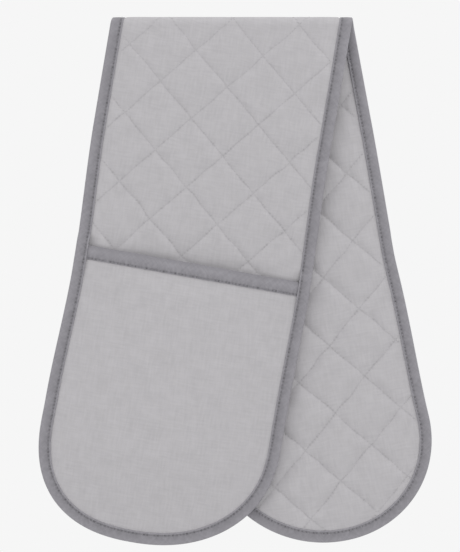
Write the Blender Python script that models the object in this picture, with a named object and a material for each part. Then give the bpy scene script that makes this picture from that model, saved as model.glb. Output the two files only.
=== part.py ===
# Double oven glove, hanging folded over a thin rail.
# A quilted strip has a mitt pocket on the outside at each end, and a bias binding round its edge.
# Metres. +X runs along the rail, the front half hangs on the -Y side, +Z is up, and the origin is
# the middle of the rail's axis, inside the fold.

import math
from collections import namedtuple

import bmesh
import bpy
from mathutils import Vector
from mathutils.geometry import delaunay_2d_cdt

# Overall sizes of the flat strip
STRIP_WIDTH = 0.1892
STRIP_LENGTH = 0.8575
MITT_START = 0.230
END_ROUNDING = 0.088

# Where both halves sway inwards, and over what length to each side
SWAY_MIDDLE = 0.215
SWAY_REACH = 0.110

# How it hangs: the strip lies askew over the rail, and below it the halves drift sideways and
# close up on each other
FOLD_RADIUS = 0.0055
FOLD_SKEW = math.radians(10.0)
DRIFT_SHARE = 0.007
CLOSING = 0.0020
CLOSING_START = 0.020
CLOSING_RUN = 0.060
FOLD_OFFSET = 0.00075
SADDLE_HALF_ANGLE = math.radians(45.0)
SPLIT_GAP = 0.0005
FOLD_STEPS = 6

# Cloth, wadding and their clearance
CLOTH = 0.0006
GAP = 0.0003
QUILT_CREST = 0.0048
QUILT_CHANNEL = 0.0031
QUILT_EDGE = 0.0026
FOLD_FILL_SHARE = 0.35
PILLOW_POWER = 0.6
SMOOTH_FOLD_LENGTH = 0.0035
QUILT_FADE = 0.012

# The diamond quilting: two sets of stitched lines and the crossing nearest the fold
QUILT_PITCH_A = 0.0384
QUILT_PITCH_B = 0.0380
QUILT_ANGLE_A = math.radians(40.7)
QUILT_ANGLE_B = math.radians(129.3)
QUILT_START = (-0.0234, 0.0329)

# Edge binding and its seam
BINDING_CLOTH = 0.0006
BINDING_WIDTH = 0.0100
BINDING_ROUND = 0.0012
SEAM_INSET = 0.0020
THREAD_RADIUS = 0.0003
THREAD_SIDES = 5

# The ramp from the binding up to the full quilt
RAMP_MARGIN = 0.001
RAMP_START = BINDING_WIDTH + RAMP_MARGIN
RAMP_END = 0.020

# Pocket
MOUTH_DISTANCE = 0.200
MOUTH_BINDING_WIDTH = 0.0114
POCKET_THICKNESS = 0.0036
POCKET_EDGE = 0.0024
POCKET_ROOM = 0.0068
MOUTH_ROOM = 0.0056
MOUTH_RUN = 0.060
DOME_RUN = 0.060
DOME_MIDDLE = 0.036
DOME_POWER = 2.2
BINDING_CLIMB = 0.014
BINDING_SETTLE = 0.015
MOUTH_OVERRUN = 0.001

# Places along each side edge where its outline gets a point, and points round the end
SIDE_SHARES = (0.105, 0.21, 0.315, 0.42, 0.61, 0.695)
END_STEPS = 14

# Sizes worked out from the ones above
HALF_WIDTH = STRIP_WIDTH / 2
FRONT_LENGTH = STRIP_LENGTH / 2 - FOLD_OFFSET
BACK_LENGTH = STRIP_LENGTH / 2 + FOLD_OFFSET
QUARTER_TURN = math.pi / 2
ARC_LENGTH = FOLD_RADIUS * QUARTER_TURN
RIM = BINDING_CLOTH + GAP
BINDING_RISE = BINDING_CLOTH + GAP
MOUTH_EDGE = MOUTH_DISTANCE + RIM
MOUTH_BINDING_END = MOUTH_DISTANCE + MOUTH_BINDING_WIDTH
MOUTH_LEVEL_END = MOUTH_BINDING_END + MOUTH_OVERRUN
SETTLE_END = MOUTH_LEVEL_END + BINDING_SETTLE
SETTLE_MIDDLE = (MOUTH_LEVEL_END + SETTLE_END) / 2
STACK_START = MOUTH_DISTANCE - BINDING_CLIMB / 2
STACK_END = (MOUTH_LEVEL_END + SETTLE_MIDDLE) / 2
PIVOT_RADIUS = FOLD_RADIUS + QUILT_EDGE / 2 + BINDING_RISE + GAP + 2 * THREAD_RADIUS
PIVOT_SIDE = PIVOT_RADIUS * math.sin(SADDLE_HALF_ANGLE)
PIVOT_HEIGHT = PIVOT_RADIUS * math.cos(SADDLE_HALF_ANGLE)
QUILT_A = Vector((math.cos(QUILT_ANGLE_A), math.sin(QUILT_ANGLE_A))) * QUILT_PITCH_A
QUILT_B = Vector((math.cos(QUILT_ANGLE_B), math.sin(QUILT_ANGLE_B))) * QUILT_PITCH_B
RIM_MARGIN = RAMP_START + GAP

# The two halves: sign along the strip, length, how much the mitt widens on each side, roundness of
# the end, how far, from where and how suddenly the mitt drifts outwards, and how far the half sways
Half = namedtuple("Half", "name sign length flare end_power drift drift_start drift_power sway")
FRONT = Half("front", 1, FRONT_LENGTH, 0.0012, 2.26, 0.0098, 0.326, 1.87, 0.0028)
BACK = Half("back", -1, BACK_LENGTH, -0.0042, 2.02, 0.0123, 0.210, 1.12, 0.0011)

BODY_PIVOTS = {
    "saddle": Vector((0, 0, 0)),
    "front": Vector((0, -PIVOT_SIDE, PIVOT_HEIGHT)),
    "back": Vector((0, PIVOT_SIDE, PIVOT_HEIGHT)),
}

COLOURS = {
    "cloth": ((0.48, 0.47, 0.485), 0.9),
    "lining": ((0.52, 0.51, 0.52), 0.9),
    "wadding": ((0.82, 0.80, 0.76), 0.95),
    "binding": ((0.28, 0.27, 0.295), 0.85),
    "thread": ((0.10, 0.10, 0.115), 0.7),
}


def clear_scene():
    for old in list(bpy.data.objects):
        bpy.data.objects.remove(old, do_unlink=True)


def smooth(share):
    """0 below 0, 1 above 1, and an even S between."""
    share = min(max(share, 0), 1)
    return share * share * (3 - 2 * share)


def mix(low, high, share):
    return low + (high - low) * share


# The flat strip. A half's own coordinates are a, across and positive towards the other half's
# side, and s, along and away from the fold. Depth is the distance from the fold's top line.


def depth_of(a, s):
    return a * math.sin(FOLD_SKEW) + s * math.cos(FOLD_SKEW)


def along_at(a, depth):
    return (depth - a * math.sin(FOLD_SKEW)) / math.cos(FOLD_SKEW)


def to_space(sign, a, s, h):
    """The place of a strip point that lies h outside the quilt's middle surface."""
    u, v = sign * a, sign * s
    across = u * math.cos(FOLD_SKEW) - v * math.sin(FOLD_SKEW)
    along = u * math.sin(FOLD_SKEW) + v * math.cos(FOLD_SKEW)
    radius = FOLD_RADIUS + h
    drop = abs(along) - ARC_LENGTH
    if drop > 0:
        radius -= CLOSING * smooth((drop - CLOSING_START) / CLOSING_RUN)
        return Vector((across + DRIFT_SHARE * drop, math.copysign(radius, -along), -drop))
    turn = along / FOLD_RADIUS
    return Vector((across, -radius * math.sin(turn), radius * math.cos(turn)))


def end_start(half):
    return half.length - END_ROUNDING


def centre_at(half, s):
    run = max(s - half.drift_start, 0) / (half.length - half.drift_start)
    sway = smooth(1 - abs(s - SWAY_MIDDLE) / SWAY_REACH)
    return half.sway * sway - half.drift * run**half.drift_power


def half_width_at(half, s):
    share = (s - MITT_START) / (end_start(half) - MITT_START)
    return HALF_WIDTH + half.flare * smooth(share)


def end_point(half, turn):
    """A point of the rounded end: turn runs from pi on the outer side to 0 on the inner side."""
    power = 2 / half.end_power
    rise = abs(math.sin(turn)) ** power
    reach = math.copysign(abs(math.cos(turn)) ** power, math.cos(turn))
    s = end_start(half) + END_ROUNDING * rise
    return Vector((centre_at(half, s) + (HALF_WIDTH + half.flare) * reach, s))


def edge_line(half, inset, rows, sides):
    """The outline, inset, from the top of the outer side round the end to the top of the inner side."""

    def side_point(side, s):
        return Vector((centre_at(half, s) + side * (half_width_at(half, s) - inset), s))

    def row_point(side, depth):
        a = side * (HALF_WIDTH - inset)
        return Vector((a, along_at(a, depth)))

    line = [row_point(-1, depth) for depth in rows]
    line += [side_point(-1, s) for s in sides]
    nudge = math.pi / END_STEPS / END_STEPS
    for step in range(1, END_STEPS):
        turn = math.pi * (1 - step / END_STEPS)
        tangent = end_point(half, turn - nudge) - end_point(half, turn + nudge)
        inwards = Vector((tangent.y, -tangent.x)).normalized()
        line.append(end_point(half, turn) + inwards * inset)
    line += [side_point(1, s) for s in reversed(sides)]
    line += [row_point(1, depth) for depth in reversed(rows)]
    return line


SPLIT_DEPTH = FOLD_RADIUS * SADDLE_HALF_ANGLE + SPLIT_GAP / 2
FOLD_ANGLES = [SADDLE_HALF_ANGLE + (QUARTER_TURN - SADDLE_HALF_ANGLE) * k / 3 for k in (1, 2, 3)]
ROWS = [SPLIT_DEPTH] + [FOLD_RADIUS * angle for angle in FOLD_ANGLES]
MOUTH_SIDES = [MOUTH_EDGE, MOUTH_LEVEL_END, SETTLE_MIDDLE, SETTLE_END]


def plain_sides(half):
    return [half.length * share for share in SIDE_SHARES] + [end_start(half)]


def pocket_sides(half):
    return MOUTH_SIDES + [s for s in plain_sides(half) if s > SETTLE_END]


def strip_sides(half):
    climb = [MOUTH_DISTANCE - BINDING_CLIMB, MOUTH_DISTANCE - MOUTH_OVERRUN]
    plain = [s for s in plain_sides(half) if abs(s - MOUTH_DISTANCE) > 2 * BINDING_CLIMB]
    return sorted(climb + MOUTH_SIDES[1:] + plain)


def distance_to_segment(p, start, end):
    """Distance from a segment, and whether the point lies on its right."""
    way = end - start
    share = min(max((p - start).dot(way) / way.length_squared, 0), 1)
    return (p - start - way * share).length, way.cross(p - start) < 0


def edge_measure(half):
    """A function that gives how far a point lies inside the side and end edges of a half."""
    line = edge_line(half, 0, [-RAMP_END] + ROWS, strip_sides(half))
    pairs = list(zip(line, line[1:]))

    def distance(a, s):
        p = Vector((a, s))
        nearest, within = min(distance_to_segment(p, start, end) for start, end in pairs)
        return nearest if within else -nearest

    return distance


# Thickness of the quilt and the pocket


def lattice_place(u, v):
    """Where a strip point lies in the quilting, counted in stitched lines of each set."""
    x, y = u - QUILT_START[0], v - QUILT_START[1]
    area = QUILT_A.x * QUILT_B.y - QUILT_A.y * QUILT_B.x
    return (x * QUILT_B.y - y * QUILT_B.x) / area, (y * QUILT_A.x - x * QUILT_A.y) / area


def pillow(sign, a, s):
    """0 on a stitched line and 1 in the middle of a diamond, levelled where the quilt bends."""
    m, n = lattice_place(sign * a, sign * s)
    crown = abs(math.sin(math.pi * m) * math.sin(math.pi * n)) ** PILLOW_POWER
    fade = (depth_of(a, s) - ARC_LENGTH - SMOOTH_FOLD_LENGTH) / QUILT_FADE
    return mix(FOLD_FILL_SHARE, crown, smooth(fade))


def quilt_half(edge, fill):
    """Half the quilt's thickness at a distance from the edge, for a share of its filling."""
    full = mix(QUILT_CHANNEL, QUILT_CREST, fill)
    return mix(QUILT_EDGE, full, smooth((edge - RAMP_START) / (RAMP_END - RAMP_START))) / 2


def edge_room(s):
    """Room under the pocket's edge: it takes the mouth binding's inner leg, then settles."""
    settle = smooth((s - MOUTH_LEVEL_END) / BINDING_SETTLE)
    return GAP + BINDING_RISE * (1 - settle)


def pocket_base(edge, s):
    """Height of the lining's inner surface, which arches clear of the quilt to leave a hand's way in."""
    room = edge_room(s)
    rise = min(max(edge - RAMP_START, 0) / (DOME_RUN - RAMP_START), 1)
    dome = 1 - (1 - rise) ** DOME_POWER
    crown = mix(MOUTH_ROOM, POCKET_ROOM, smooth((s - MOUTH_LEVEL_END) / MOUTH_RUN))
    return quilt_half(edge, 1) + mix(room, crown, dome)


def pocket_thickness(edge, s):
    inwards = smooth((edge - RAMP_START) / (RAMP_END - RAMP_START))
    down = smooth((s - MOUTH_LEVEL_END) / BINDING_SETTLE)
    return mix(POCKET_EDGE, POCKET_THICKNESS, inwards * down)


def stack_top(s):
    """Height of what the edge binding's outer leg lies on."""
    level = QUILT_EDGE / 2
    if s < STACK_START:
        return level
    level += edge_room(s) + POCKET_EDGE
    return level + BINDING_RISE if s < STACK_END else level


# Meshes


def material(kind):
    made = bpy.data.materials.get(kind)
    if made:
        return made
    colour, roughness = COLOURS[kind]
    made = bpy.data.materials.new(kind)
    made.use_nodes = True
    shader = made.node_tree.nodes["Principled BSDF"]
    shader.inputs["Base Color"].default_value = (*colour, 1)
    shader.inputs["Roughness"].default_value = roughness
    shader.inputs["Metallic"].default_value = 0
    return made


def body_axis(body):
    """The empty on a body's fold axis, which its pieces are parented to."""
    name = body + "_axis"
    if name not in bpy.data.objects:
        empty = bpy.data.objects.new(name, None)
        empty.location = BODY_PIVOTS[body]
        bpy.context.collection.objects.link(empty)
    return bpy.data.objects[name]


def finish(bm, name, body, kind):
    bmesh.ops.translate(bm, verts=bm.verts, vec=-BODY_PIVOTS[body])
    bmesh.ops.recalc_face_normals(bm, faces=bm.faces)
    mesh = bpy.data.meshes.new(name)
    bm.to_mesh(mesh)
    bm.free()
    mesh.materials.append(material(kind))
    mesh.shade_smooth()
    mesh.set_sharp_from_angle(angle=math.radians(40))
    piece = bpy.data.objects.new(name, mesh)
    bpy.context.collection.objects.link(piece)
    piece.parent = body_axis(body)
    return piece


def add_layer(name, body, kind, sign, pattern, low, high):
    """A closed sheet over a flat triangle pattern, between two heights given for each point."""
    points, faces = pattern
    bm = bmesh.new()
    under = [bm.verts.new(to_space(sign, p.x, p.y, low(i))) for i, p in enumerate(points)]
    over = [bm.verts.new(to_space(sign, p.x, p.y, high(i))) for i, p in enumerate(points)]
    for face in faces:
        bm.faces.new([over[i] for i in face])
        bm.faces.new([under[i] for i in reversed(face)])
    sides = {(face[k - 1], face[k]) for face in faces for k in range(len(face))}
    for i, j in sorted(sides):
        if (j, i) not in sides:
            bm.faces.new((under[i], under[j], over[j], over[i]))
    return finish(bm, name, body, kind)


def add_sweep(name, body, kind, rings):
    """A closed body through rings of equal count, with flat caps."""
    bm = bmesh.new()
    loops = [[bm.verts.new(point) for point in ring] for ring in rings]
    count = len(loops[0])
    for here, there in zip(loops, loops[1:]):
        for i in range(count):
            j = (i + 1) % count
            bm.faces.new((here[i], here[j], there[j], there[i]))
    bm.faces.new(loops[0])
    bm.faces.new(loops[-1])
    bmesh.ops.triangulate(bm, faces=[face for face in bm.faces if len(face.verts) > 4])
    return finish(bm, name, body, kind)


# Flat patterns


class Sketch:
    """Points and lines that a constrained triangulation turns into a flat pattern."""

    def __init__(self):
        self.points = []
        self.lines = []

    def add(self, point):
        self.points.append(Vector((point[0], point[1])))
        return len(self.points) - 1

    def chain(self, indices):
        self.lines += list(zip(indices, indices[1:]))

    def pattern(self):
        points, _, faces, *_ = delaunay_2d_cdt(self.points, self.lines, [], 1, GAP / 100)
        return points, [tuple(face) for face in faces]


def quilting_lines(sketch, sign, inside):
    """Adds each stitched stretch and each diamond's middle that lie inside."""
    reach = math.ceil(STRIP_LENGTH / QUILT_PITCH_A)
    start = Vector(QUILT_START)
    steps = 24

    def place(m, n):
        return (start + QUILT_A * m + QUILT_B * n) * sign

    def stretch(m, n, dm, dn):
        run = [place(m + dm * k / steps, n + dn * k / steps) for k in range(steps + 1)]
        kept = [p for p in run if inside(p.x, p.y)]
        if len(kept) > steps / 4:
            sketch.chain([node(kept[0]), node(kept[-1])])

    nodes = {}

    def node(p):
        key = (round(p.x / GAP), round(p.y / GAP))
        if key not in nodes:
            nodes[key] = sketch.add(p)
        return nodes[key]

    for m in range(-reach, reach):
        for n in range(-reach, reach):
            middle = place(m + 0.5, n + 0.5)
            if inside(middle.x, middle.y):
                sketch.add(middle)
            stretch(m, n, 1, 0)
            stretch(m, n, 0, 1)


def half_pattern(half, distance):
    """The triangles of a quilted half, with edges along the bend's rows and the stitched lines."""
    sketch = Sketch()
    rings = []
    for inset in (RIM, RAMP_START, RAMP_END):
        ring = [sketch.add(p) for p in edge_line(half, inset, ROWS, strip_sides(half))]
        sketch.chain(ring)
        rings.append(ring)
    for k in range(len(ROWS)):
        sketch.chain([ring[k] for ring in rings] + [ring[-1 - k] for ring in reversed(rings)])
    lowest = ARC_LENGTH + SMOOTH_FOLD_LENGTH

    def inside(a, s):
        return depth_of(a, s) > lowest and distance(a, s) > RIM_MARGIN

    quilting_lines(sketch, half.sign, inside)
    return sketch.pattern()


def pocket_pattern(half):
    """The triangles of a pocket panel, in rings that follow its edge and rows that follow its mouth."""
    sketch = Sketch()
    sides = pocket_sides(half)
    rings = []
    for inset in (RIM, RAMP_START, RAMP_END, DOME_MIDDLE, DOME_RUN):
        ring = [sketch.add(p) for p in edge_line(half, inset, [], sides)]
        sketch.chain(ring)
        rings.append(ring)
    for k in range(len(sides)):
        sketch.chain([ring[k] for ring in rings] + [ring[-1 - k] for ring in reversed(rings)])
    return sketch.pattern()


# Sub-parts


def add_quilt(half):
    """The two cloths of a quilted half and the wadding between them."""
    distance = edge_measure(half)
    pattern = half_pattern(half, distance)
    cover_start = MOUTH_DISTANCE + MOUTH_BINDING_WIDTH
    outer, inner = [], []
    for p in pattern[0]:
        edge = distance(p.x, p.y)
        crown = pillow(half.sign, p.x, p.y)
        covered = smooth((p.y - MOUTH_DISTANCE) / (cover_start - MOUTH_DISTANCE))
        outer.append(quilt_half(edge, mix(crown, 1, covered)))
        inner.append(-quilt_half(edge, crown))

    def build(part, kind, low, high):
        add_layer(f"{half.name}_{part}", half.name, kind, half.sign, pattern, low, high)

    build("outer_cloth", "cloth", lambda i: outer[i] - CLOTH, lambda i: outer[i])
    build("wadding", "wadding", lambda i: inner[i] + CLOTH + GAP, lambda i: outer[i] - CLOTH - GAP)
    build("inner_cloth", "cloth", lambda i: inner[i], lambda i: inner[i] + CLOTH)


def add_pocket(half):
    """The pocket panel's cloth, wadding and lining."""
    distance = edge_measure(half)
    pattern = pocket_pattern(half)
    base = [pocket_base(distance(p.x, p.y), p.y) for p in pattern[0]]
    top = [b + pocket_thickness(distance(p.x, p.y), p.y) for b, p in zip(base, pattern[0])]

    def build(part, kind, low, high):
        add_layer(f"{half.name}_{part}", half.name, kind, half.sign, pattern, low, high)

    build("pocket_cloth", "cloth", lambda i: top[i] - CLOTH, lambda i: top[i])
    build("pocket_wadding", "wadding", lambda i: base[i] + CLOTH + GAP, lambda i: top[i] - CLOTH - GAP)
    build("pocket_lining", "lining", lambda i: base[i], lambda i: base[i] + CLOTH)


def channel(width, top, bottom):
    """A folded tape's section as (distance in from its fold, height) pairs."""
    corner = BINDING_ROUND * (1 - math.sqrt(0.5))
    outside = [
        (width, top),
        (BINDING_ROUND, top),
        (corner, top - corner),
        (0, top - BINDING_ROUND),
        (0, bottom + BINDING_ROUND),
        (corner, bottom + corner),
        (BINDING_ROUND, bottom),
        (width, bottom),
    ]
    inside = [
        (width, bottom + BINDING_CLOTH),
        (BINDING_CLOTH, bottom + BINDING_CLOTH),
        (BINDING_CLOTH, top - BINDING_CLOTH),
        (width, top - BINDING_CLOTH),
    ]
    return outside + inside


def thread_ring(centre, along, outwards):
    """The section of a seam thread."""
    aside = along.cross(outwards).normalized()
    ring = []
    for k in range(THREAD_SIDES):
        turn = 2 * math.pi * k / THREAD_SIDES
        spoke = outwards * math.cos(turn) + aside * math.sin(turn)
        ring.append(centre + spoke * THREAD_RADIUS)
    return ring


def add_thread(name, body, places, outwards):
    """A seam thread through places, lying on a surface that faces outwards at each."""
    rings = []
    for k, place in enumerate(places):
        before = places[max(k - 1, 0)]
        after = places[min(k + 1, len(places) - 1)]
        along = (after - before).normalized()
        up = (outwards[k] - along * along.dot(outwards[k])).normalized()
        rings.append(thread_ring(place, along, up))
    add_sweep(name, body, "thread", rings)


def add_edge_binding(half):
    """The bias tape round a half, folded over its edge, and the two threads that hold it."""
    insets = sorted({e for e, _ in channel(BINDING_WIDTH, 0, 0)} | {BINDING_WIDTH - SEAM_INSET})
    lines = {inset: edge_line(half, inset, ROWS, strip_sides(half)) for inset in insets}
    bottom = -QUILT_EDGE / 2 - BINDING_RISE
    rings = []
    needle, bobbin, outwards = [], [], []
    lift = GAP + THREAD_RADIUS
    for k, p in enumerate(lines[0]):
        top = stack_top(p.y) + BINDING_RISE
        section = channel(BINDING_WIDTH, top, bottom)
        rings.append([to_space(half.sign, *lines[e][k], h) for e, h in section])
        seam = lines[BINDING_WIDTH - SEAM_INSET][k]
        needle.append(to_space(half.sign, *seam, top + lift))
        bobbin.append(to_space(half.sign, *seam, bottom - lift))
        outwards.append((needle[-1] - bobbin[-1]).normalized())
    add_sweep(f"{half.name}_edge_binding", half.name, "binding", rings)
    add_thread(f"{half.name}_edge_needle_thread", half.name, needle, outwards)
    add_thread(f"{half.name}_edge_bobbin_thread", half.name, bobbin, outwards)


def add_mouth_binding(half):
    """The tape folded over the pocket's mouth edge, and the thread along its lower side."""
    places = [RIM, RAMP_START, RAMP_END, DOME_MIDDLE, DOME_RUN]
    across = [-(HALF_WIDTH - e) for e in places] + [HALF_WIDTH - e for e in reversed(places)]
    shift = centre_at(half, MOUTH_DISTANCE + MOUTH_BINDING_WIDTH / 2)

    def section(a):
        edge = HALF_WIDTH - abs(a)
        ring = []
        for inset, side in channel(MOUTH_BINDING_WIDTH, BINDING_ROUND, -BINDING_ROUND):
            s = MOUTH_DISTANCE + inset
            base = pocket_base(edge, max(s, MOUTH_EDGE))
            if side > 0:
                h = base + POCKET_EDGE + BINDING_RISE + side - BINDING_ROUND
            else:
                h = base - BINDING_RISE + side + BINDING_ROUND
            ring.append(to_space(half.sign, shift + a, s, h))
        return ring

    add_sweep(f"{half.name}_mouth_binding", half.name, "binding", [section(a) for a in across])
    s = MOUTH_BINDING_END - SEAM_INSET
    top = POCKET_EDGE + BINDING_RISE + GAP + THREAD_RADIUS
    places = []
    for a in across[1:-1]:
        h = pocket_base(HALF_WIDTH - abs(a), s) + top
        places.append(to_space(half.sign, shift + a, s, h))
    outwards = [Vector((0, -half.sign, 0))] * len(places)
    add_thread(f"{half.name}_mouth_thread", half.name, places, outwards)


def add_saddle():
    """The short stretch of the strip, its binding and its seams, that lies over the rail."""
    reach = SADDLE_HALF_ANGLE - SPLIT_GAP / 2 / FOLD_RADIUS
    turns = [reach * (2 * k / FOLD_STEPS - 1) for k in range(FOLD_STEPS + 1)]
    rows = [FOLD_RADIUS * turn for turn in turns]
    insets = (RIM, RAMP_START, RAMP_END)
    across = [-(HALF_WIDTH - e) for e in insets] + [HALF_WIDTH - e for e in reversed(insets)]
    points = [Vector((a, along_at(a, depth))) for depth in rows for a in across]
    faces = []
    for row in range(FOLD_STEPS):
        for column in range(len(across) - 1):
            corner = row * len(across) + column
            faces.append((corner, corner + 1, corner + 1 + len(across), corner + len(across)))
    half = [quilt_half(HALF_WIDTH - abs(p.x), FOLD_FILL_SHARE) for p in points]

    def build(part, kind, low, high):
        add_layer(f"saddle_{part}", "saddle", kind, 1, (points, faces), low, high)

    build("outer_cloth", "cloth", lambda i: half[i] - CLOTH, lambda i: half[i])
    build("wadding", "wadding", lambda i: CLOTH + GAP - half[i], lambda i: half[i] - CLOTH - GAP)
    build("inner_cloth", "cloth", lambda i: -half[i], lambda i: CLOTH - half[i])

    top = QUILT_EDGE / 2 + BINDING_RISE
    lift = top + GAP + THREAD_RADIUS

    def at(side, inset, depth, h):
        a = side * (HALF_WIDTH - inset)
        return to_space(1, a, along_at(a, depth), h)

    for side, word in ((-1, "left"), (1, "right")):
        section = channel(BINDING_WIDTH, top, -top)
        rings = [[at(side, e, depth, h) for e, h in section] for depth in rows]
        add_sweep(f"saddle_binding_{word}", "saddle", "binding", rings)
        seam = BINDING_WIDTH - SEAM_INSET
        needle = [at(side, seam, depth, lift) for depth in rows]
        bobbin = [at(side, seam, depth, -lift) for depth in rows]
        outwards = [(high - low).normalized() for high, low in zip(needle, bobbin)]
        add_thread(f"saddle_needle_thread_{word}", "saddle", needle, outwards)
        add_thread(f"saddle_bobbin_thread_{word}", "saddle", bobbin, outwards)


clear_scene()
add_saddle()
for each_half in (FRONT, BACK):
    add_quilt(each_half)
    add_pocket(each_half)
    add_edge_binding(each_half)
    add_mouth_binding(each_half)
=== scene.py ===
# %% [markdown]
# # A double oven glove
# The glove is one quilted cotton strip with a mitt pocket at each end, bound all round with bias
# tape. It hangs folded in half over a thin rail, a little askew, so that both halves show. First
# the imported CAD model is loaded, and every piece that follows is made around it in the same
# place.

import math

import bpy
import numpy as np
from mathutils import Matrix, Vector, noise
from mathutils.geometry import delaunay_2d_cdt


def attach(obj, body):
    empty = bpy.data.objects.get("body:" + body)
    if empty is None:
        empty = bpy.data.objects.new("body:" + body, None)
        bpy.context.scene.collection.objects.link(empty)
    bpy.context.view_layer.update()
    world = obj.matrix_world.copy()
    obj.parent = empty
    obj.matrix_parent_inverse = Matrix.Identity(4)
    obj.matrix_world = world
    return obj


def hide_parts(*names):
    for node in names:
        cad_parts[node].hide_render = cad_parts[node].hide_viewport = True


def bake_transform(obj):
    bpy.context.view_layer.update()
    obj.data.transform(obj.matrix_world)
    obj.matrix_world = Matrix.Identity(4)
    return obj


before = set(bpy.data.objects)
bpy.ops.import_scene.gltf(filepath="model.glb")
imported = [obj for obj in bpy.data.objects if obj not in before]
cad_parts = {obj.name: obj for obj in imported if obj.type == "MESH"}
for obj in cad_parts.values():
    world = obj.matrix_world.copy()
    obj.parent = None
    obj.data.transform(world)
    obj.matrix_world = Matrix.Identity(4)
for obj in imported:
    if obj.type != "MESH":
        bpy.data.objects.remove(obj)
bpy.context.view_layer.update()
bpy.ops.object.select_all(action="DESELECT")

# %% [markdown]
# The camera looks straight at the hanging glove from about a metre away, at the height of its
# middle. The picture is 552 pixels tall and shows 442 mm at the rail's distance.

# %% Camera
CAMERA_DISTANCE = 1.0
CAMERA_PLACE = (-0.0022, -CAMERA_DISTANCE, -0.1995)
VIEW_HEIGHT = 0.4416
SENSOR = 36.0

bpy.ops.object.camera_add(location=CAMERA_PLACE, rotation=(math.pi / 2, 0, 0))
camera = bpy.context.object
camera.name = "camera"
camera.data.sensor_width = SENSOR
camera.data.lens = SENSOR / VIEW_HEIGHT * CAMERA_DISTANCE
bpy.context.scene.camera = camera
print("lens in mm:", round(camera.data.lens, 2))

# %% [markdown]
# The glove's sizes are the CAD model's. Lengths along the strip start at the fold, and each half
# has its own flat coordinates: a runs across, from the outer side to the inner side, and s runs
# away from the fold. A height h is measured outwards from the quilt's middle surface.

# %% Sizes, in metres
HALF_WIDTH = 0.0946
MITT_START = 0.230
END_ROUNDING = 0.088
SWAY_MIDDLE, SWAY_REACH = 0.215, 0.110
FOLD_RADIUS = 0.0055
FOLD_SKEW = math.radians(10.0)
DRIFT_SHARE = 0.007
CLOSING, CLOSING_START, CLOSING_RUN = 0.0020, 0.020, 0.140
EDGE_LIFT, LIFT_REACH = 0.0033, 0.045
LIFT_START, LIFT_IN, LIFT_END, LIFT_OUT = 0.010, 0.030, 0.148, 0.045
LIFT_WAVES = ((0.15, 0.0062), (0.12, 1.7 * 0.0062))
QUARTER_TURN = math.pi / 2
ARC_LENGTH = FOLD_RADIUS * QUARTER_TURN
CLOTH, GAP = 0.0006, 0.0003
QUILT_CREST, QUILT_EDGE = 0.0048, 0.0026
OUTER_SEAM, INNER_SEAM = 0.0012, 0.0009
OUTER_CREST, INNER_CREST = 0.0022, 0.0027
BINDING_WIDTH = 0.0100
MOUTH_DISTANCE, MOUTH_BINDING_WIDTH = 0.2008, 0.0114
RIM = CLOTH + GAP
RISE = CLOTH + GAP
RAMP_START, RAMP_END = BINDING_WIDTH + 0.001, 0.020
MOUTH_LEVEL_END = MOUTH_DISTANCE + MOUTH_BINDING_WIDTH + 0.001
SETTLE = 0.015
POCKET_THICKNESS, POCKET_EDGE = 0.0036, 0.0024
POCKET_ROOM, MOUTH_ROOM = 0.0068, 0.0056
DOME_RUN, MOUTH_RUN, PANEL_RAMP = 0.075, 0.060, 0.025


class Half:
    """One half of the strip, front or back."""

    def __init__(self, name, sign, length, flare, end_power, drift, drift_start, drift_power, sway):
        self.name, self.sign, self.length, self.flare = name, sign, length, flare
        self.end_power, self.drift, self.sway = end_power, drift, sway
        self.drift_start, self.drift_power = drift_start, drift_power
        self.end_start = length - END_ROUNDING


FRONT = Half("front", 1, 0.4280, 0.0012, 2.26, 0.0098, 0.326, 1.87, 0.0028)
BACK = Half("back", -1, 0.4295, -0.0042, 2.02, 0.0123, 0.210, 1.12, 0.0011)
HALVES = (FRONT, BACK)


def smooth(share):
    share = np.clip(share, 0, 1)
    return share * share * (3 - 2 * share)


def ramp(x, start, run):
    """0 up to the start, then a smooth rise to 1 over the run."""
    return smooth((x - start) / run)


def mix(low, high, share):
    return low + (high - low) * share


def unit(vectors):
    return vectors / np.linalg.norm(vectors, axis=1)[:, None]


# %% [markdown]
# Cloth is cut and quilted flat, so each layer is made flat here too and then hung over the rail
# by one function, which wraps it round the fold and lets it drop down on both sides. The halves
# close a little below the rail, and nothing stretches, so the quilting keeps its true size.


# %% From the flat strip to the hanging one
def depth_of(a, s):
    return a * math.sin(FOLD_SKEW) + s * math.cos(FOLD_SKEW)


def along_at(a, depth):
    return (depth - a * math.sin(FOLD_SKEW)) / math.cos(FOLD_SKEW)


def edge_lift(a, drop):
    """How far the front half's inner side stands off the back, where its stiff bound edge waves."""
    near = smooth((a - HALF_WIDTH + LIFT_REACH) / LIFT_REACH)
    along = ramp(drop, LIFT_START, LIFT_IN) * (1 - ramp(drop, LIFT_END, LIFT_OUT))
    wave = sum(share * np.sin(drop / length) for share, length in LIFT_WAVES)
    return EDGE_LIFT * near * along * (1 + wave)


def hang(sign, a, s, h):
    a, s, h = np.broadcast_arrays(*(np.asarray(x, float) for x in (a, s, h)))
    across = sign * (a * math.cos(FOLD_SKEW) - s * math.sin(FOLD_SKEW))
    along = sign * depth_of(a, s)
    drop = np.maximum(np.abs(along) - ARC_LENGTH, 0)
    radius = FOLD_RADIUS + h - CLOSING * ramp(drop, CLOSING_START, CLOSING_RUN)
    if sign > 0:
        radius = radius + edge_lift(a, drop)
    turn = np.clip(along / FOLD_RADIUS, -QUARTER_TURN, QUARTER_TURN)
    across = across + DRIFT_SHARE * drop
    return np.stack([across, -radius * np.sin(turn), radius * np.cos(turn) - drop], axis=-1)


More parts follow.
